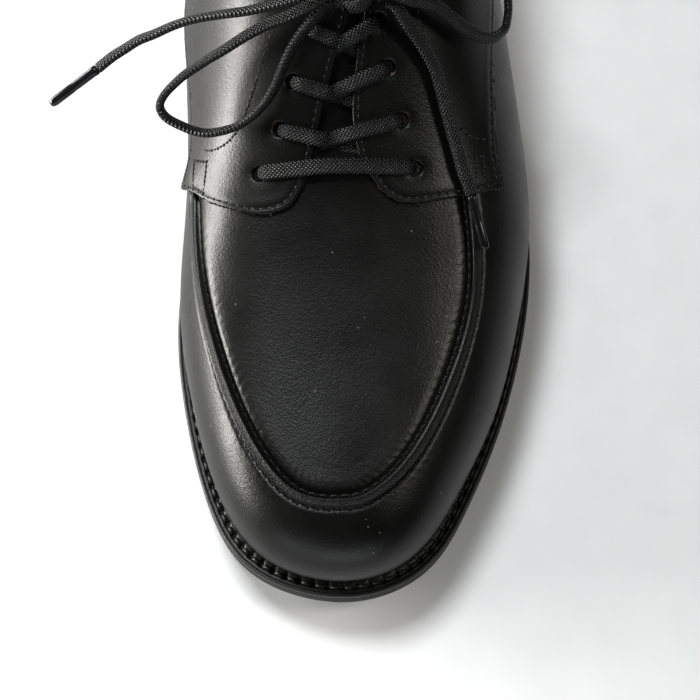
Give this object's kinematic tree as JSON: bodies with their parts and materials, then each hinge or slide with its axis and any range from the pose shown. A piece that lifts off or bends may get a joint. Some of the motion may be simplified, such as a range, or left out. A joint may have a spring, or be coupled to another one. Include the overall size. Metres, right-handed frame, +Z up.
{
  "type": "apron toe derby",
  "caption": "Low black leather derby shoe for the left foot, with a raised apron seam round the toe, open lacing tied in a bow, a stitched welt and a stacked heel.",
  "frame": {"origin": "on the floor under the middle of the shoe without its bow", "axes": "+Z up, +Y from the toe towards the heel, -X towards the inner side of the left foot"},
  "size_m": [0.1473, 0.3, 0.1053],
  "materials": {
    "upper_leather": "semi-matte fine-grained full-grain leather, polished, with thread of the same black",
    "lining_leather": "matte natural tan lining leather",
    "welt_leather": "dyed and burnished edge with thick black stitches",
    "heel_stack": "stacked leather lifts, dyed black and waxed",
    "sole_rubber": "smooth matte black rubber",
    "lace_cotton": "flat braided cotton with a wax gloss",
    "aglet_plastic": "smooth dark plastic film"
  },
  "bodies": {
    "root": {"outsole": "sole_rubber", "heel": "heel_stack", "heel_lift": "sole_rubber", "welt": "welt_leather", "insole": "lining_leather", "upper": "upper_leather", "tongue": "upper_leather", "quarter_inner": "upper_leather", "quarter_outer": "upper_leather", "backstrip": "upper_leather", "lace_bar": "lace_cotton", "lace_cross_1": "lace_cotton", "lace_cross_2": "lace_cotton", "lace_cross_3": "lace_cotton", "lace_cross_4": "lace_cotton", "lace_knot": "lace_cotton", "lace_end_inner": "lace_cotton", "lace_end_outer": "lace_cotton", "lace_loop_inner": "lace_cotton", "lace_loop_outer": "lace_cotton", "aglet_inner": "aglet_plastic", "aglet_outer": "aglet_plastic"}
  },
  "joints": []
}
